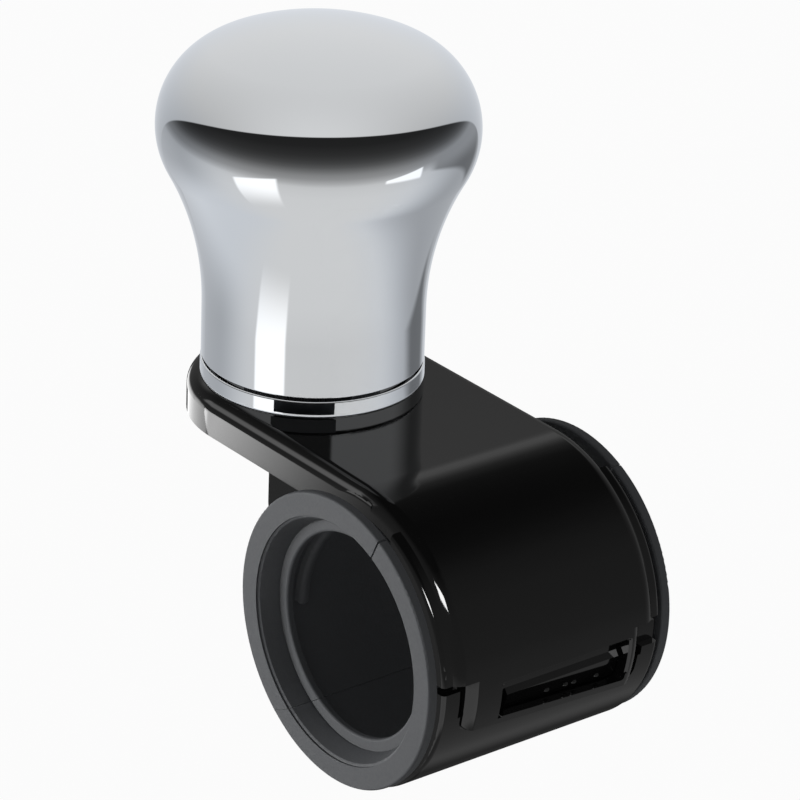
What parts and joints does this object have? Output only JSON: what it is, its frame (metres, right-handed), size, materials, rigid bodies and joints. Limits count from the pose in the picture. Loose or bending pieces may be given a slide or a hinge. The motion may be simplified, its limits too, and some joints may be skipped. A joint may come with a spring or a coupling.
{
  "type": "steering wheel spinner knob",
  "caption": "Chromed spinner knob on ball bearings, standing on an offset arm of a hinged clamp that latches shut with soft half bushes for a steering wheel rim.",
  "frame": {"origin": "middle of the clamp's bore, halfway along it", "axes": "+Y along the bore, +Z parallel to the knob's axis and out of the arm, +X from the knob towards the clamp's hooked side"},
  "size_m": [0.0823, 0.0472, 0.0998],
  "materials": {
    "chrome": "polished",
    "black_shell": "gloss",
    "soft_liner": "matte",
    "steel": "satin",
    "bearing_steel": "polished",
    "cage_brass": "satin",
    "core_nylon": "matte",
    "felt": "matte"
  },
  "bodies": {
    "clamp": {"upper_shell": "black_shell", "upper_liner": "soft_liner", "hinge_pin": "steel", "base_ring": "chrome", "spindle": "steel", "spindle_screw": "steel", "lock_washer": "steel", "flat_washer": "steel", "dust_seal": "felt", "lower_inner_race": "bearing_steel", "bearing_spacer": "steel", "upper_inner_race": "bearing_steel", "top_washer": "steel", "top_nut": "steel"},
    "jaw": {"lower_jaw": "black_shell", "lower_liner": "soft_liner"},
    "knob": {"knob_shell": "chrome", "knob_core": "core_nylon", "lower_outer_race": "bearing_steel", "upper_outer_race": "bearing_steel", "bearing_circlip": "steel"},
    "lower_ball_set": {"lower_balls": "bearing_steel", "lower_cage": "cage_brass"},
    "upper_ball_set": {"upper_balls": "bearing_steel", "upper_cage": "cage_brass"}
  },
  "joints": [
    {"name": "jaw_hinge", "type": "hinge", "parent": "clamp", "child": "jaw", "pos_m": [-0.0244, 0, 0.0086], "axis": [0, 1, 0], "range_deg": [0, 100]},
    {"name": "knob_spin", "type": "hinge", "parent": "clamp", "child": "knob", "pos_m": [-0.0354, 0, 0.0233], "axis": [0, 0, 1], "continuous": true},
    {"name": "lower_balls_roll", "type": "hinge", "parent": "clamp", "child": "lower_ball_set", "pos_m": [-0.0354, 0, 0.0315], "axis": [0, 0, 1], "continuous": true},
    {"name": "upper_balls_roll", "type": "hinge", "parent": "clamp", "child": "upper_ball_set", "pos_m": [-0.0354, 0, 0.0518], "axis": [0, 0, 1], "continuous": true}
  ],
  "couplings": [
    {"joint": "lower_balls_roll", "follows": "knob_spin", "ratio": 0.632},
    {"joint": "upper_balls_roll", "follows": "knob_spin", "ratio": 0.632}
  ]
}
